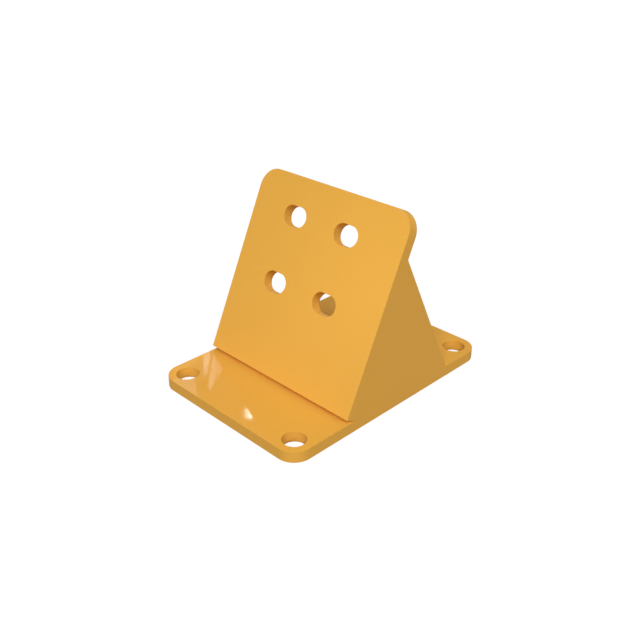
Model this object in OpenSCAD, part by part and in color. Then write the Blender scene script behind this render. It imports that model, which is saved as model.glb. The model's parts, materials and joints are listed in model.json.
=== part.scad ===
// Welded plate bracket: a drilled base plate carries a slotted plate that leans back,
// and a triangular gusset on the right side ties the two together.
// Millimetres. X runs to the right, Y from front to back and Z up.
// The origin is the middle of the base plate's underside.

/* [Bracket] */
// Width of the bracket, to which the base plate and the angled plate are both cut
bracket_w = 100; // [80:1:180]
// Height over all, from the underside to the angled plate's top front edge
bracket_h = 100; // [80:1:160]

/* [Base plate] */
// Depth of the base plate from front to back
base_d = 140; // [120:1:220]
// Thickness of the base plate
base_t = 6; // [3:0.5:12]
// Radius of the base plate's four corners
base_corner_r = 10; // [2:0.5:18]
// Diameter of the bolt hole in each corner of the base plate
base_hole_d = 12; // [6:0.5:16]
// Distance of each base hole's centre from both edges at its corner
base_hole_inset = 10; // [8:0.5:18]

/* [Angled plate] */
// Lean of the angled plate away from upright, in degrees
lean_deg = 25; // [10:1:40]
// Thickness of the angled plate
plate_t = 6; // [3:0.5:12]
// Distance from the base plate's front edge to the corner that the angled plate stands on
foot_setback = 40; // [32:1:60]
// Radius of the angled plate's two top corners
plate_corner_r = 10.5; // [2:0.5:18]
// Width of the four bolt slots in the angled plate
plate_slot_w = 10.5; // [4:0.5:16]
// Length by which a bolt can move sideways in its slot
plate_slot_travel = 5; // [1:0.5:10]
// Spacing of the slots, the same across the plate and up it
plate_slot_pitch = 35; // [20:1:50]
// Distance of the upper pair of slots below the top edge
plate_slot_drop = 20; // [12:1:30]
// Distance by which the slots sit left of the plate's middle, away from the gusset
plate_slot_shift = 2.5; // [0:0.5:6]

/* [Side gusset] */
// Thickness of the gusset
gusset_t = 6; // [3:0.5:12]
// Distance of the gusset's upper tip below the angled plate's top edge
gusset_drop = 21; // [19:1:40]
// Distance of the gusset's rear tip from the base plate's back edge
gusset_setback = 30; // [20:1:50]

/* [Welds] */
// Leg of each fillet weld along the plates that it joins
weld_leg = 5; // [3:0.5:7]
// Height of a weld's crown above the line between its toes
weld_crown = 0.8; // [0.4:0.1:1.2]
// Length of joint left bare at the open end of each weld
weld_stop = 8; // [5:1:12]
// Length of joint left bare between welds where the three plates meet
weld_gap = 2; // [1:0.5:5]

/* [Hidden] */
$fn = 96;
paint = [0.93, 0.68, 0.27];
// Length by which a drill runs past both faces of a plate
drill_over = 1;

// The corner between the angled plate's back face and the base plate's top
foot_y = foot_setback - base_d / 2;
corner_deg = 90 - lean_deg;
// Length of the angled plate from its foot to its top edge
plate_l = (bracket_h - base_t - plate_t * sin(lean_deg)) / cos(lean_deg);
// Sides of the gusset along the base plate and up the angled plate's back
gusset_run = base_d - foot_setback - gusset_setback;
gusset_rise = plate_l - gusset_drop;
gusset_inner_x = bracket_w / 2 - gusset_t;
// Both gusset welds start where their strips along the two plates no longer cross
weld_start = weld_leg / tan(corner_deg / 2) + weld_gap;

// Rectangle about the origin with four rounded corners
module rounded_blank(w, d, r) {
    square([w - 2 * r, d], center = true);
    square([w, d - 2 * r], center = true);
    for (x = [-1, 1], y = [-1, 1])
        translate([x * (w / 2 - r), y * (d / 2 - r)])
            circle(r);
}

// Four copies on the corners of a rectangle about the origin
module at_four(span_x, span_y) {
    for (x = [-1, 1], y = [-1, 1])
        translate([x * span_x / 2, y * span_y / 2, 0])
            children();
}

// Through hole up a plate that lies on Z = 0
module through_hole(d, t) {
    translate([0, 0, -drill_over])
        cylinder(d = d, h = t + 2 * drill_over);
}

// Through slot along X, up a plate that lies on Z = 0: a straight cut with a through hole at both ends
module through_slot(travel, w, t) {
    translate([-travel / 2, -w / 2, -drill_over])
        cube([travel, w, t + 2 * drill_over]);
    for (x = [-1, 1])
        translate([x * travel / 2, 0, 0])
            through_hole(w, t);
}

// Places what stands on the XY plane onto the angled plate: X across, Y up its back face, Z through to its front
module on_angled_plate() {
    translate([0, foot_y, base_t])
        rotate([corner_deg, 0, 0])
            children();
}

// Convex fillet weld in the corner between the X axis and a line at deg to it, with its root up the Z axis.
// It is the part of a round-ended rod that stands out of the corner, so both ends run out to nothing.
module fillet_weld(deg, length) {
    throat = weld_leg * cos(deg / 2);
    rod_depth = (pow(weld_leg * sin(deg / 2), 2) - pow(weld_crown, 2)) / (2 * weld_crown) - throat;
    rod_r = rod_depth + throat + weld_crown;
    run_out = sqrt(pow(rod_r, 2) - pow(rod_depth, 2));
    intersection() {
        translate([0, 0, -weld_leg])
            linear_extrude(length + 2 * weld_leg)
                polygon(2 * weld_leg * [[0, 0], [1, 0], [cos(deg), sin(deg)]]);
        translate(-rod_depth * [cos(deg / 2), sin(deg / 2), 0])
            translate([0, 0, run_out])
                round_ended_rod(rod_r, length - 2 * run_out);
    }
}

// Rod up the Z axis from Z = 0, with a half ball past each end of its straight length
module round_ended_rod(r, straight) {
    rotate_extrude()
        intersection() {
            translate([0, -r])
                square([r, straight + 2 * r]);
            union() {
                square([r, straight]);
                for (y = [0, straight])
                    translate([0, y])
                        circle(r);
            }
        }
}

module base_plate() {
    color(paint)
        difference() {
            linear_extrude(base_t)
                rounded_blank(bracket_w, base_d, base_corner_r);
            at_four(bracket_w - 2 * base_hole_inset, base_d - 2 * base_hole_inset)
                through_hole(base_hole_d, base_t);
        }
}

// The foot is cut square, so the plate stands on its back corner and a groove stays open under its front
module angled_plate() {
    color(paint)
        on_angled_plate()
            difference() {
                linear_extrude(plate_t)
                    intersection() {
                        translate([0, plate_l / 2 - plate_corner_r])
                            rounded_blank(bracket_w, plate_l + 2 * plate_corner_r, plate_corner_r);
                        translate([-bracket_w / 2, 0])
                            square([bracket_w, plate_l]);
                    }
                translate([-plate_slot_shift, plate_l - plate_slot_drop - plate_slot_pitch / 2, 0])
                    at_four(plate_slot_pitch, plate_slot_pitch)
                        through_slot(plate_slot_travel, plate_slot_w, plate_t);
            }
}

// A triangle of plate in the corner, its outer face flush with the edges of the other two plates
module side_gusset() {
    color(paint)
        translate([gusset_inner_x, foot_y, base_t])
            rotate([90, 0, 90])
                linear_extrude(gusset_t)
                    polygon([[0, 0], [gusset_run, 0], gusset_rise * [cos(corner_deg), sin(corner_deg)]]);
}

// Behind the foot, from one bare end near the left edge to the other near the gusset
module foot_weld() {
    color(paint)
        translate([weld_stop - bracket_w / 2, foot_y, base_t])
            rotate([90, 0, 90])
                fillet_weld(corner_deg, bracket_w - gusset_t - 2 * weld_stop);
}

// Along the base plate against the gusset's inner face
module gusset_base_weld() {
    color(paint)
        translate([gusset_inner_x, foot_y + weld_start, base_t])
            rotate([90, 0, 180])
                fillet_weld(90, gusset_run - weld_start - weld_stop);
}

// Up the angled plate's back against the gusset's inner face
module gusset_plate_weld() {
    color(paint)
        on_angled_plate()
            translate([gusset_inner_x, weld_start, 0])
                rotate([-90, 90, 0])
                    fillet_weld(90, gusset_rise - weld_start - weld_stop);
}

base_plate();
angled_plate();
side_gusset();
foot_weld();
gusset_base_weld();
gusset_plate_weld();
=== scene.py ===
"""Fuel line bracket: paints the plates, dresses the weld beads and stages the bracket for its portrait.

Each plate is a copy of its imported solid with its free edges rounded.
Each plain weld solid is replaced by a rippled bead of the same size in the same corner.
All the pieces carry one gloss enamel.
"""

import json
import logging
import math
from dataclasses import dataclass
from enum import Enum

import bmesh
import bpy
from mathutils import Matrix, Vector

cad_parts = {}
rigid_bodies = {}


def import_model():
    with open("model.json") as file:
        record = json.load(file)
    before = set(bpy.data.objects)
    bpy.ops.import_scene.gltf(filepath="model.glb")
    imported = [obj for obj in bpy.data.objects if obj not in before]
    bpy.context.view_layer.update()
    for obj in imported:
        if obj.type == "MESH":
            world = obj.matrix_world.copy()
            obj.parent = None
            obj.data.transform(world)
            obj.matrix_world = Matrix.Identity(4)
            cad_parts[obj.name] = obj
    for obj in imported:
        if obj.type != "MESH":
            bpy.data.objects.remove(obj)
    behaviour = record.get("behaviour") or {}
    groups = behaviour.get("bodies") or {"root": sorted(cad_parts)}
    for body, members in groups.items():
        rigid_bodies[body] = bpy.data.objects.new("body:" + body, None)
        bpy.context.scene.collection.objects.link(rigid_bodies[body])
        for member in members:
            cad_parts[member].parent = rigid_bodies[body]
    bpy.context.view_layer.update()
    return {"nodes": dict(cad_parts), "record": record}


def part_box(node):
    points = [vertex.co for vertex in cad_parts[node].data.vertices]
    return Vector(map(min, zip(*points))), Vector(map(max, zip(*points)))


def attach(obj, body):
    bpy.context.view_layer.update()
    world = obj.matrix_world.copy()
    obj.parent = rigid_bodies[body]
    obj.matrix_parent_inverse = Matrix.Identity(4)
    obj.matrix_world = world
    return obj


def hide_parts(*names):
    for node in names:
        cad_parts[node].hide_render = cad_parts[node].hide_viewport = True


LOG = logging.getLogger("fuel_line_bracket")

MM = 0.001
TOUCH = 0.002 * MM
ROOT_BODY = "root"


class Node(str, Enum):
    """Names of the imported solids."""

    BASE_PLATE = "base_plate"
    ANGLED_PLATE = "angled_plate"
    SIDE_GUSSET = "side_gusset"
    FOOT_WELD = "foot_weld"
    GUSSET_BASE_WELD = "gusset_base_weld"
    GUSSET_PLATE_WELD = "gusset_plate_weld"


@dataclass(frozen=True)
class GlossEnamel:
    """Gloss enamel sprayed over steel, with a faint drift of colour and a faint orange peel."""

    name: str = "gloss_enamel"
    colour: tuple[float, float, float] = (0.83, 0.427, 0.066)
    thin_colour: tuple[float, float, float] = (0.805, 0.413, 0.063)
    drift_size: float = 30 * MM
    drift_detail: float = 3.0
    body_roughness: float = 0.42
    body_roughness_spread: float = 0.06
    body_specular: float = 0.0
    coat_weight: float = 0.12
    coat_roughness: float = 0.03
    peel_size: float = 1.6 * MM
    peel_height: float = 0.004 * MM
    peel_strength: float = 0.1
    peel_detail: float = 1.0

    def material(self) -> bpy.types.Material:
        """Builds the node material.

        Returns:
            The new material, which reads only Object coordinates.
        """
        material = bpy.data.materials.new(self.name)
        material.use_nodes = True
        nodes, links = material.node_tree.nodes, material.node_tree.links
        shader = nodes["Principled BSDF"]
        shader.inputs["Metallic"].default_value = 0.0
        shader.inputs["Specular IOR Level"].default_value = self.body_specular
        shader.inputs["Coat Weight"].default_value = self.coat_weight
        shader.inputs["Coat Roughness"].default_value = self.coat_roughness
        place = nodes.new("ShaderNodeTexCoord")

        drift = nodes.new("ShaderNodeTexNoise")
        drift.inputs["Scale"].default_value = 1 / self.drift_size
        drift.inputs["Detail"].default_value = self.drift_detail
        links.new(place.outputs["Object"], drift.inputs["Vector"])

        tint = nodes.new("ShaderNodeMix")
        tint.data_type = "RGBA"
        tint.inputs["A"].default_value = (*self.colour, 1.0)
        tint.inputs["B"].default_value = (*self.thin_colour, 1.0)
        links.new(drift.outputs["Fac"], tint.inputs["Factor"])
        links.new(tint.outputs["Result"], shader.inputs["Base Color"])

        sheen = nodes.new("ShaderNodeMapRange")
        sheen.inputs["To Min"].default_value = self.body_roughness - self.body_roughness_spread
        sheen.inputs["To Max"].default_value = self.body_roughness + self.body_roughness_spread
        links.new(drift.outputs["Fac"], sheen.inputs["Value"])
        links.new(sheen.outputs["Result"], shader.inputs["Roughness"])

        peel = nodes.new("ShaderNodeTexNoise")
        peel.inputs["Scale"].default_value = 1 / self.peel_size
        peel.inputs["Detail"].default_value = self.peel_detail
        links.new(place.outputs["Object"], peel.inputs["Vector"])
        bump = nodes.new("ShaderNodeBump")
        bump.inputs["Strength"].default_value = self.peel_strength
        bump.inputs["Distance"].default_value = self.peel_height
        links.new(peel.outputs["Fac"], bump.inputs["Height"])
        links.new(bump.outputs["Normal"], shader.inputs["Normal"])
        links.new(bump.outputs["Normal"], shader.inputs["Coat Normal"])
        return material


@dataclass(frozen=True)
class Layout:
    """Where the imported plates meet, measured from the frame."""

    lean: float
    base_top: float
    right_side: float
    gusset_low: Vector
    gusset_high: Vector

    @classmethod
    def measure(cls, record: dict) -> "Layout":
        """Reads the plates' meeting places.

        Args:
            record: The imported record.

        Returns:
            The layout.
        """
        front = next(m for m in record["mounts"] if m["name"] == "plate_front")
        low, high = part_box(Node.SIDE_GUSSET)
        return cls(math.asin(front["axis"][2]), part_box(Node.BASE_PLATE)[1].z, high.x, low, high)

    @property
    def up_plate(self) -> Vector:
        """Direction from the angled plate's foot to its top edge."""
        return Vector((0, math.sin(self.lean), math.cos(self.lean)))

    @property
    def behind_plate(self) -> Vector:
        """Direction out of the angled plate's back face."""
        return Vector((0, math.cos(self.lean), -math.sin(self.lean)))

    @property
    def gusset_tip(self) -> Vector:
        """The gusset's upper tip, on the angled plate's back face."""
        rise = self.gusset_high.z - self.base_top
        return Vector((self.right_side, self.gusset_low.y + rise * math.tan(self.lean), self.gusset_high.z))

    def on_base_top(self, point: Vector) -> bool:
        """Tells whether a point lies on the base plate's top, within the touching distance."""
        return abs(point.z - self.base_top) < TOUCH

    def on_plate_back(self, point: Vector) -> bool:
        """Tells whether a point lies on the angled plate's back face, within the touching distance."""
        return abs((point - self.gusset_tip).dot(self.behind_plate)) < TOUCH

    def is_seam(self, edge: bmesh.types.BMEdge) -> bool:
        """Tells whether an edge is part of a joint between two plates, which stays sharp under the paint.

        Args:
            edge: An edge of one of the plates.

        Returns:
            True on a joint.
        """
        ends = [v.co for v in edge.verts]
        on_base = all(self.on_base_top(p) for p in ends)
        on_back = all(self.on_plate_back(p) for p in ends)
        along_gusset = all(self.gusset_low.y - TOUCH < p.y < self.gusset_high.y + TOUCH for p in ends)
        below_tip = all(p.z < self.gusset_high.z + TOUCH for p in ends)
        at_gusset = all(p.x > self.gusset_low.x - TOUCH for p in ends)
        if on_base:
            return along_gusset and at_gusset or on_back
        return on_back and below_tip and at_gusset


@dataclass
class CutPlate:
    """One plate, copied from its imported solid, with its free edges rounded as paint leaves them."""

    node: bpy.types.Object
    layout: Layout
    edge_round: float = 0.15 * MM
    edge_segments: int = 3
    edge_profile: float = 0.5
    sharp_angle: float = math.radians(40)
    crease_angle: float = math.radians(12)
    flat_angle: float = math.radians(0.5)
    shading_weight: int = 100

    def seam_ends(self) -> list[tuple[Vector, Vector]]:
        """Lists where a joint ends along this plate's edges, so that the edges are split there.

        Returns:
            A point and a direction for each cut across the plate.
        """
        rear = Vector((0, 1, 0))
        if self.node.name == Node.BASE_PLATE:
            return [(self.layout.gusset_low, rear), (self.layout.gusset_high, rear)]
        if self.node.name == Node.ANGLED_PLATE:
            return [(self.layout.gusset_tip, self.layout.up_plate)]
        return []

    def build(self, paint: bpy.types.Material) -> bpy.types.Object:
        """Makes the plate.

        Args:
            paint: The enamel.

        Returns:
            The finished plate.
        """
        mesh = bmesh.new()
        mesh.from_mesh(self.node.data)
        bmesh.ops.remove_doubles(mesh, verts=mesh.verts[:], dist=TOUCH)
        bmesh.ops.dissolve_limit(mesh, angle_limit=self.flat_angle, verts=mesh.verts[:], edges=mesh.edges[:])
        for place, along in self.seam_ends():
            everything = mesh.verts[:] + mesh.edges[:] + mesh.faces[:]
            bmesh.ops.bisect_plane(mesh, geom=everything, dist=TOUCH, plane_co=place, plane_no=along)
        sharp = [e for e in mesh.edges if e.calc_face_angle(0.0) > self.sharp_angle]
        free = [e for e in sharp if not self.layout.is_seam(e)]
        bmesh.ops.bevel(
            mesh,
            geom=free,
            offset=self.edge_round,
            offset_type="OFFSET",
            affect="EDGES",
            segments=self.edge_segments,
            profile=self.edge_profile,
            clamp_overlap=True,
            material=-1,
        )
        for edge in mesh.edges:
            edge.smooth = edge.calc_face_angle(0.0) < self.crease_angle
        plate = finish_piece(mesh, f"{self.node.name}_painted", paint)
        shading = plate.modifiers.new("even_shading", "WEIGHTED_NORMAL")
        shading.keep_sharp = True
        shading.weight = self.shading_weight
        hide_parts(self.node.name)
        return plate


@dataclass
class WeldBead:
    """A rippled fillet bead that replaces one plain weld solid and keeps its reach.

    The bead lies in the corner between two plates. Its root runs along one direction,
    and its two legs reach out over the plates in two others.
    """

    node: bpy.types.Object
    along: Vector
    leg_a: Vector
    leg_b: Vector
    ripple_pitch: float = 1.25 * MM
    ripple_depth: float = 0.16 * MM
    ripple_bow: float = 1.4
    steps_per_ripple: int = 8
    steps_across: int = 16
    merge_distance: float = 0.004 * MM

    def __post_init__(self) -> None:
        """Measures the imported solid: its root, its length, its legs and its crown."""
        normal_a = (self.leg_b - self.leg_a * self.leg_b.dot(self.leg_a)).normalized()
        normal_b = (self.leg_a - self.leg_b * self.leg_a.dot(self.leg_b)).normalized()
        corners = [v.co for v in self.node.data.vertices]
        self.angle = self.leg_a.angle(self.leg_b)
        self.bisector = (self.leg_a + self.leg_b).normalized()
        self.across = (self.leg_b - self.leg_a).normalized()
        start = min(c.dot(self.along) for c in corners)
        self.length = max(c.dot(self.along) for c in corners) - start
        height_a = min(c.dot(normal_a) for c in corners)
        height_b = min(c.dot(normal_b) for c in corners)
        cosine = normal_a.dot(normal_b)
        share_a = (height_a - cosine * height_b) / (1 - cosine**2)
        share_b = (height_b - cosine * height_a) / (1 - cosine**2)
        self.root = self.along * start + normal_a * share_a + normal_b * share_b
        leg = max((c - self.root).dot(self.leg_a) for c in corners)
        reach = max((c - self.root).dot(self.bisector) for c in corners)
        throat = leg * math.cos(self.angle / 2)
        crown = reach - throat
        half_width = leg * math.sin(self.angle / 2)
        self.rod_depth = (half_width**2 - crown**2) / (2 * crown) - throat
        self.rod_radius = self.rod_depth + throat + crown
        self.run_out = math.sqrt(self.rod_radius**2 - self.rod_depth**2)

    def build(self, paint: bpy.types.Material) -> bpy.types.Object:
        """Makes the bead and puts it in the solid's place.

        Args:
            paint: The enamel.

        Returns:
            The finished bead.
        """
        ripples = max(1, round(self.length / self.ripple_pitch))
        rows = ripples * self.steps_per_ripple
        columns = self.steps_across + 2
        mesh = bmesh.new()
        bmesh.ops.create_grid(mesh, x_segments=rows, y_segments=columns, size=1.0)
        for vert in mesh.verts:
            station = (vert.co.x + 1) / 2 * self.length
            column = round((vert.co.y + 1) / 2 * columns)
            vert.co = self._skin(station, column, columns)
        bmesh.ops.remove_doubles(mesh, verts=mesh.verts[:], dist=self.merge_distance)
        bead = finish_piece(mesh, f"{self.node.name}_bead", paint)
        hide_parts(self.node.name)
        return bead

    def _skin(self, station: float, column: int, columns: int) -> Vector:
        """Finds one point of the bead's closed skin.

        Args:
            station: Distance along the root from its start.
            column: Place round the bead: the first and last columns are the root itself.
            columns: Number of steps round the bead.

        Returns:
            The point in the object's frame.
        """
        at_root = self.root + self.along * station
        if column in (0, columns):
            return at_root
        turn = ((column - 1) / (columns - 2) - 0.5) * self.angle
        past_end = max(self.run_out - station, station - self.length + self.run_out, 0.0)
        square = self.rod_radius**2 - past_end**2 - (self.rod_depth * math.sin(turn)) ** 2
        reach = math.sqrt(max(square, 0.0)) - self.rod_depth * math.cos(turn)
        side = turn / (self.angle / 2)
        phase = station / self.ripple_pitch - self.ripple_bow * (1 - side**2)
        valley = (0.5 + 0.5 * math.cos(2 * math.pi * phase)) ** 2
        fade = 1 - side**4
        reach = max(reach - self.ripple_depth * valley * fade, 0.0)
        return at_root + (self.bisector * math.cos(turn) + self.across * math.sin(turn)) * reach


@dataclass
class Bracket:
    """The whole bracket: three plates, and three beads on their hidden inside corners."""

    nodes: dict[str, bpy.types.Object]
    layout: Layout

    def plates(self) -> list[CutPlate]:
        """Lists one plate for each plate solid."""
        names = (Node.BASE_PLATE, Node.ANGLED_PLATE, Node.SIDE_GUSSET)
        return [CutPlate(self.nodes[name], self.layout) for name in names]

    def beads(self) -> list[WeldBead]:
        """Lists the beads with the directions of their roots and legs.

        Returns:
            One bead for each weld solid.
        """
        right, left = Vector((1, 0, 0)), Vector((-1, 0, 0))
        rear, up = Vector((0, 1, 0)), Vector((0, 0, 1))
        up_plate, behind_plate = self.layout.up_plate, self.layout.behind_plate
        return [
            WeldBead(self.nodes[Node.FOOT_WELD], right, rear, up_plate),
            WeldBead(self.nodes[Node.GUSSET_BASE_WELD], rear, left, up),
            WeldBead(self.nodes[Node.GUSSET_PLATE_WELD], up_plate, left, behind_plate),
        ]

    def build(self, paint: bpy.types.Material) -> list[bpy.types.Object]:
        """Builds every piece in the given enamel."""
        return [piece.build(paint) for piece in (*self.plates(), *self.beads())]


@dataclass
class Portrait:
    """The camera, at the photograph's own place and angle."""

    location: tuple[float, float, float] = (268.71 * MM, -272.16 * MM, 236.56 * MM)
    azimuth: float = math.radians(44.988)
    elevation: float = math.radians(28.408)
    lens: float = 47.132
    sensor: float = 36.0
    near_clip: float = 10 * MM
    far_clip: float = 50.0

    def build(self) -> bpy.types.Object:
        """Makes the camera and hands the scene to it.

        Returns:
            The camera.
        """
        data = bpy.data.cameras.new("portrait")
        data.lens = self.lens
        data.sensor_width = self.sensor
        data.clip_start = self.near_clip
        data.clip_end = self.far_clip
        camera = bpy.data.objects.new("portrait", data)
        bpy.context.scene.collection.objects.link(camera)
        camera.location = self.location
        camera.rotation_mode = "QUATERNION"
        camera.rotation_quaternion = (-outward(self.azimuth, self.elevation)).to_track_quat("-Z", "Y")
        bpy.context.scene.camera = camera
        return camera


def white_in_sight(tree: bpy.types.NodeTree, level: float) -> bpy.types.NodeSocket:
    """Adds nodes that give a level where the camera, a reflection or clear glass looks, and zero elsewhere.

    Args:
        tree: The node tree of a material or the world.
        level: The level to give.

    Returns:
        The socket that carries the level.
    """
    nodes, links = tree.nodes, tree.links
    seen = nodes.new("ShaderNodeLightPath")
    value = seen.outputs["Is Camera Ray"]
    for other in ("Is Glossy Ray", "Is Transmission Ray"):
        either = nodes.new("ShaderNodeMath")
        either.operation = "MAXIMUM"
        links.new(value, either.inputs[0])
        links.new(seen.outputs[other], either.inputs[1])
        value = either.outputs["Value"]
    scaled = nodes.new("ShaderNodeMath")
    scaled.operation = "MULTIPLY"
    scaled.inputs[1].default_value = level
    links.new(value, scaled.inputs[0])
    return scaled.outputs["Value"]


@dataclass
class WhiteFloor:
    """A wide white floor disc."""

    radius: float = 6.0
    turn_steps: int = 96
    own_colour: float = 0.2
    glow: float = 0.86

    def build(self) -> bpy.types.Object:
        """Makes the floor at the height that the bracket stands on.

        Returns:
            The floor.
        """
        mesh = bmesh.new()
        bmesh.ops.create_circle(mesh, cap_ends=True, segments=self.turn_steps, radius=self.radius)
        data = bpy.data.meshes.new("white_floor")
        mesh.to_mesh(data)
        mesh.free()
        floor = bpy.data.objects.new("white_floor", data)
        bpy.context.scene.collection.objects.link(floor)
        data.materials.append(self._paper())
        return floor

    def _paper(self) -> bpy.types.Material:
        """Makes the floor's white, which the camera and reflections see and the object's shade does not.

        Returns:
            The new material.
        """
        material = bpy.data.materials.new("white_paper")
        material.use_nodes = True
        nodes, links = material.node_tree.nodes, material.node_tree.links
        nodes.clear()
        matt = nodes.new("ShaderNodeBsdfDiffuse")
        matt.inputs["Color"].default_value = (self.own_colour,) * 3 + (1.0,)
        glow = nodes.new("ShaderNodeEmission")
        links.new(white_in_sight(material.node_tree, self.glow), glow.inputs["Strength"])
        both = nodes.new("ShaderNodeAddShader")
        links.new(matt.outputs["BSDF"], both.inputs[0])
        links.new(glow.outputs["Emission"], both.inputs[1])
        result = nodes.new("ShaderNodeOutputMaterial")
        links.new(both.outputs["Shader"], result.inputs["Surface"])
        return material


@dataclass(frozen=True)
class SoftSun:
    """A broad far lamp."""

    name: str
    azimuth: float
    elevation: float
    level: float
    spread: float = 10.0

    def build(self) -> bpy.types.Object:
        """Makes the lamp.

        Returns:
            The lamp, which shines from its azimuth and elevation in degrees and leaves no glint.
        """
        data = bpy.data.lights.new(self.name, "SUN")
        data.energy = math.pi * self.level
        data.angle = math.radians(self.spread)
        lamp = bpy.data.objects.new(self.name, data)
        bpy.context.scene.collection.objects.link(lamp)
        towards = outward(math.radians(self.azimuth), math.radians(self.elevation))
        lamp.rotation_mode = "QUATERNION"
        lamp.rotation_quaternion = (-towards).to_track_quat("-Z", "Y")
        lamp.visible_glossy = False
        return lamp


@dataclass(frozen=True)
class NearLamp:
    """A round soft lamp close to the object, which falls off across it."""

    name: str
    place: tuple[float, float, float]
    level: float
    radius: float = 30 * MM
    target: tuple[float, float, float] = (0.0, 0.0, 50 * MM)

    def build(self) -> bpy.types.Object:
        """Makes the lamp, which the camera and reflections do not see.

        Returns:
            The lamp.
        """
        data = bpy.data.lights.new(self.name, "POINT")
        data.shadow_soft_size = self.radius
        reach = (Vector(self.place) - Vector(self.target)).length
        data.energy = self.level * (2 * math.pi * reach) ** 2
        lamp = bpy.data.objects.new(self.name, data)
        bpy.context.scene.collection.objects.link(lamp)
        lamp.location = self.place
        lamp.visible_camera = False
        lamp.visible_glossy = False
        return lamp


@dataclass(frozen=True)
class LitPane:
    """One lit pane that the gloss mirrors: its radiance, and its outline on the board in millimetres."""

    name: str
    radiance: float
    outline: tuple[tuple[float, float], ...]


@dataclass
class PaneBoard:
    """A far board, square to one direction from the base plate's top, with its lit panes in layers."""

    anchor: tuple[float, float, float] = (-14.3 * MM, -56.4 * MM, 6.0 * MM)
    azimuth: float = math.radians(232.676)
    elevation: float = math.radians(32.947)
    distance: float = 2.0
    layer: float = 1 * MM
    panes: tuple[LitPane, ...] = (
        LitPane(
            "veil_pane",
            3.0,
            ((-134, -77), (-56, -107), (-57, -69), (-54, -47), (-66, -31), (-82, -35), (-142, -43)),
        ),
        LitPane("corner_pane", 8.5, ((-142, -43), (-82, -35), (-76, 17), (-144, 1))),
        LitPane(
            "wedge_pane",
            15.5,
            ((-55, -106), (-32, -116), (-42, -70), (-50, -43), (-54, -47), (-57, -69)),
        ),
        LitPane("fin_pane", 8.0, ((-19, -90), (-8, -78), (-2, -65), (-12, -45), (-25, -31), (-20, -59))),
        LitPane(
            "blade_pane",
            12.0,
            (
                (-25, -104),
                (-20, -92),
                (-21, -59),
                (-27, -32),
                (-36, -10),
                (-44, -3),
                (-47, -10),
                (-44, -30),
                (-37, -58),
                (-30, -91),
            ),
        ),
        LitPane("bright_pane_rim", 9.0, ((58, 53), (77, 90), (53, 89), (46, 85), (44, 73), (48, 59))),
        LitPane("bright_pane", 32.0, ((58, 54), (77, 89), (55, 87), (51, 80), (51, 70), (54, 60))),
        LitPane("bright_pane_core", 75.0, ((59, 58), (74, 86), (65, 83), (59, 76), (58, 66))),
    )

    def build(self) -> list[bpy.types.Object]:
        """Makes the panes, which only reflections see.

        Returns:
            The panes.
        """
        towards = outward(self.azimuth, self.elevation)
        across = towards.cross(Vector((0, 0, 1))).normalized()
        upward = across.cross(towards)
        made = []
        for place, pane in enumerate(self.panes):
            middle = Vector(self.anchor) + towards * (self.distance - place * self.layer)
            mesh = bmesh.new()
            corners = [mesh.verts.new(middle + (across * x + upward * y) * MM) for x, y in pane.outline]
            mesh.faces.new(corners)
            data = bpy.data.meshes.new(pane.name)
            mesh.to_mesh(data)
            mesh.free()
            data.materials.append(self._light(pane))
            lit = bpy.data.objects.new(pane.name, data)
            bpy.context.scene.collection.objects.link(lit)
            lit.visible_camera = False
            lit.visible_diffuse = False
            lit.visible_transmission = False
            lit.visible_shadow = False
            made.append(lit)
        return made

    def _light(self, pane: LitPane) -> bpy.types.Material:
        """Makes a pane's light.

        Args:
            pane: The pane.

        Returns:
            The new material.
        """
        material = bpy.data.materials.new(pane.name)
        material.use_nodes = True
        nodes, links = material.node_tree.nodes, material.node_tree.links
        nodes.clear()
        light = nodes.new("ShaderNodeEmission")
        light.inputs["Strength"].default_value = pane.radiance
        result = nodes.new("ShaderNodeOutputMaterial")
        links.new(light.outputs["Emission"], result.inputs["Surface"])
        return material


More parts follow.
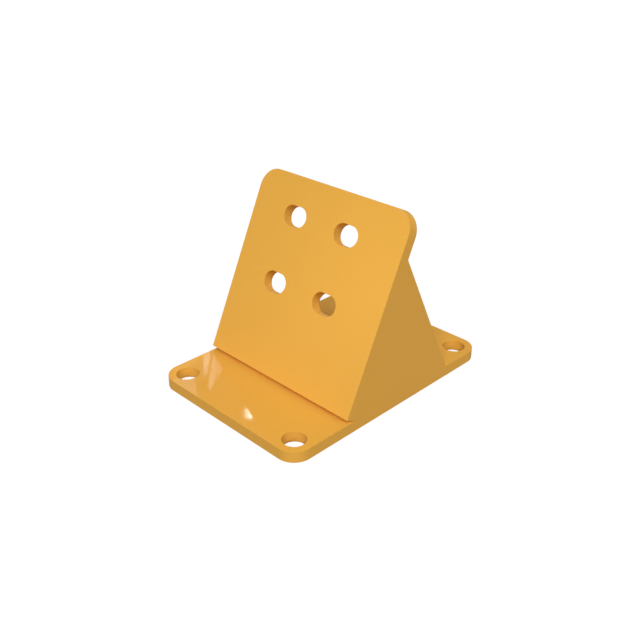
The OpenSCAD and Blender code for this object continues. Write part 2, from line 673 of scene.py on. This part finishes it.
@dataclass
class Studio:
    """The light: soft lamps all round, one near lamp, a soft sky and the panes that the gloss mirrors."""

    sky: float = 0.15
    lamps: tuple[SoftSun | NearLamp, ...] = (
        SoftSun("main_lamp", azimuth=35.0, elevation=45.0, level=0.324),
        SoftSun("high_lamp", azimuth=70.0, elevation=50.0, level=0.206),
        SoftSun("low_lamp", azimuth=30.0, elevation=25.0, level=0.22),
        SoftSun("left_lamp", azimuth=-15.0, elevation=30.0, level=0.126),
        SoftSun("right_lamp", azimuth=100.0, elevation=25.0, level=0.165),
        SoftSun("rear_lamp", azimuth=195.0, elevation=20.0, level=0.3),
        NearLamp("near_lamp", place=(45 * MM, -75 * MM, 100 * MM), level=0.12),
    )

    def build(self) -> None:
        """Makes every lamp, the panes and the sky."""
        for lamp in self.lamps:
            lamp.build()
        PaneBoard().build()
        self._white_sky()

    def _white_sky(self) -> None:
        """Makes the sky, which is white in sight and lights the object only softly."""
        world = bpy.data.worlds.new("white_studio")
        bpy.context.scene.world = world
        world.use_nodes = True
        nodes, links = world.node_tree.nodes, world.node_tree.links
        level = nodes.new("ShaderNodeMath")
        level.operation = "ADD"
        level.inputs[1].default_value = self.sky
        links.new(white_in_sight(world.node_tree, 1.0 - self.sky), level.inputs[0])
        nodes["Background"].inputs["Color"].default_value = (1.0, 1.0, 1.0, 1.0)
        links.new(level.outputs["Value"], nodes["Background"].inputs["Strength"])


def outward(azimuth: float, elevation: float) -> Vector:
    """Gives the direction from the object towards a viewer.

    Args:
        azimuth: Angle round the object, 0 in front of it and a quarter turn to its right.
        elevation: Angle above the horizon.

    Returns:
        The unit direction.
    """
    level = math.cos(elevation)
    return Vector((math.sin(azimuth) * level, -math.cos(azimuth) * level, math.sin(elevation)))


def finish_piece(mesh: bmesh.types.BMesh, name: str, paint: bpy.types.Material) -> bpy.types.Object:
    """Turns a finished mesh into a painted piece that rides on the bracket.

    Args:
        mesh: The mesh, which is freed.
        name: The piece's name.
        paint: The enamel.

    Returns:
        The piece.
    """
    bmesh.ops.recalc_face_normals(mesh, faces=mesh.faces[:])
    for face in mesh.faces:
        face.smooth = True
        face.material_index = 0
    data = bpy.data.meshes.new(name)
    mesh.to_mesh(data)
    mesh.free()
    data.materials.append(paint)
    piece = bpy.data.objects.new(name, data)
    bpy.context.scene.collection.objects.link(piece)
    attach(piece, ROOT_BODY)
    return piece


def main() -> None:
    """Builds the bracket's looks, its stage and its light."""
    logging.basicConfig(level=logging.INFO, format="%(name)s: %(message)s")
    scene = bpy.context.scene
    for leftover in list(bpy.data.objects):
        bpy.data.objects.remove(leftover)
    scene.view_settings.view_transform = "Standard"
    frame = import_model()
    paint = GlossEnamel().material()
    for piece in Bracket(frame["nodes"], Layout.measure(frame["record"])).build(paint):
        LOG.info("made %s with %d faces", piece.name, len(piece.data.polygons))
    Portrait().build()
    WhiteFloor().build()
    Studio().build()


if __name__ == "__main__":
    main()
